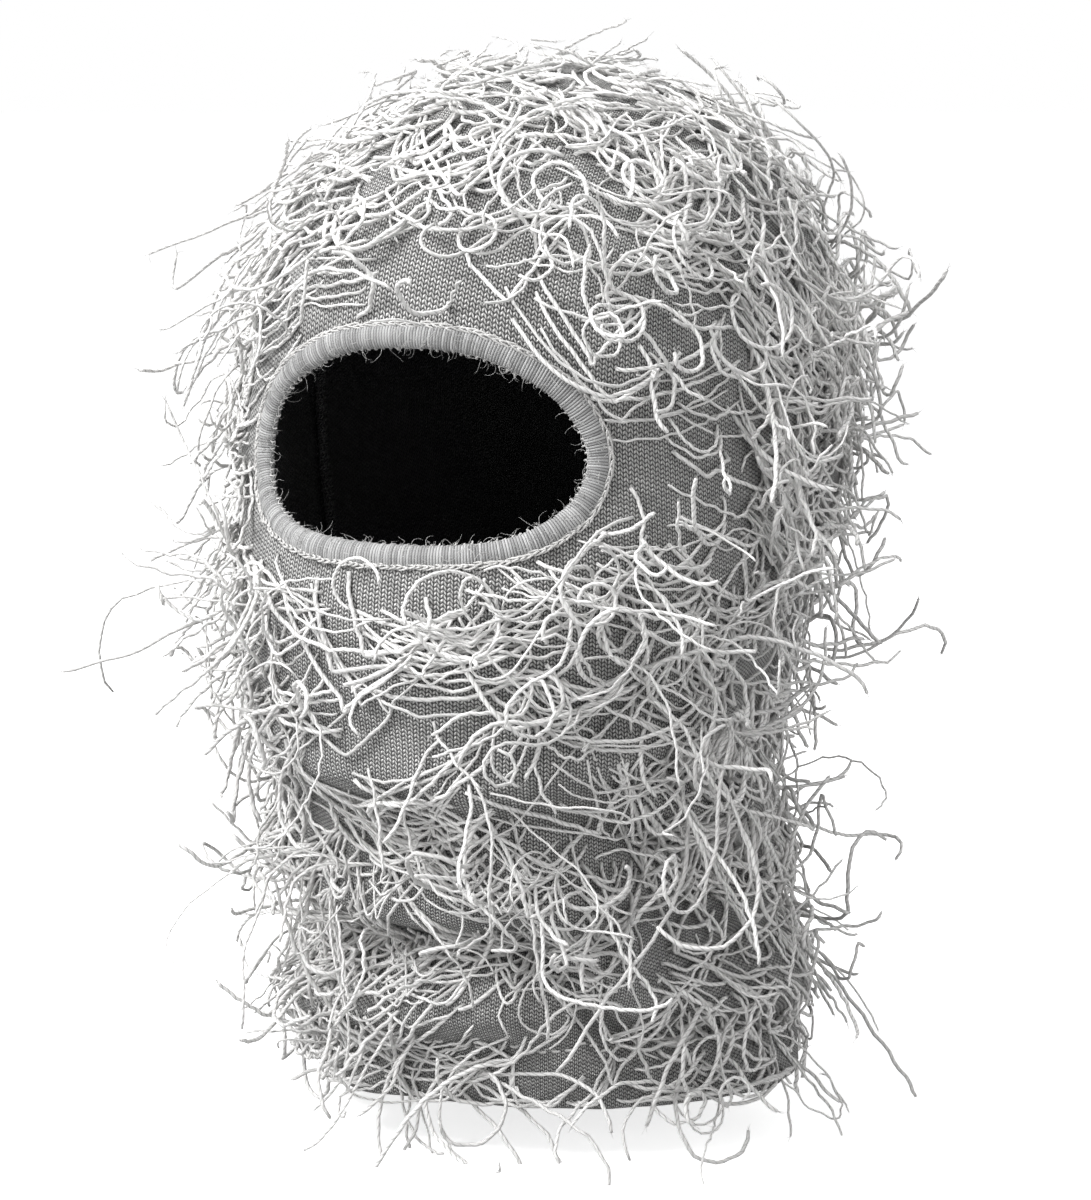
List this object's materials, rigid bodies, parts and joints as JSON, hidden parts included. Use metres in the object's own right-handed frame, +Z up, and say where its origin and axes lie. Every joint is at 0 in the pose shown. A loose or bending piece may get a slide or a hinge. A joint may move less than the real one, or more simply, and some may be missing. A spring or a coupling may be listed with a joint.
{
  "type": "distressed knit balaclava",
  "caption": "Knitted full-face hood with one oval eye opening and a neck collar, covered in loose cut yarn.",
  "frame": {"origin": "highest point of the inside of the crown, where the wearer's head bears", "axes": "+Z up, -Y the way the face looks, +X to the wearer's left"},
  "size_m": [0.2009, 0.2546, 0.3144],
  "materials": {
    "knit": "heather grey fine-gauge jersey knit",
    "hem_knit": "the same knit turned up inside",
    "seam_knit": "overlocked knit edges inside",
    "wrap_thread": "dense satin-wrapped light grey thread",
    "stitch_thread": "light grey sewing thread",
    "loose_yarn": "off-white two-ply yarn, cut and frayed"
  },
  "bodies": {
    "root": {"front_panel": "knit", "back_panel": "knit", "hem_turnup": "hem_knit", "hem_stitch": "stitch_thread", "left_side_seam": "seam_knit", "right_side_seam": "seam_knit", "crown_seam": "seam_knit", "eye_binding": "wrap_thread", "eye_edge_roll": "knit", "eye_chain_stitch": "stitch_thread", "eye_inner_loops": "stitch_thread", "crown_fringe": "loose_yarn", "brow_fringe": "loose_yarn", "left_temple_fringe": "loose_yarn", "right_temple_fringe": "loose_yarn", "upper_back_fringe": "loose_yarn", "lower_back_fringe": "loose_yarn", "nose_fringe": "loose_yarn", "left_cheek_fringe": "loose_yarn", "right_cheek_fringe": "loose_yarn", "nape_fringe": "loose_yarn", "chin_fringe": "loose_yarn", "throat_fringe": "loose_yarn", "left_neck_fringe": "loose_yarn", "right_neck_fringe": "loose_yarn", "collar_front_fringe": "loose_yarn", "collar_back_fringe": "loose_yarn", "hem_front_fringe": "loose_yarn", "hem_back_fringe": "loose_yarn"}
  },
  "joints": []
}
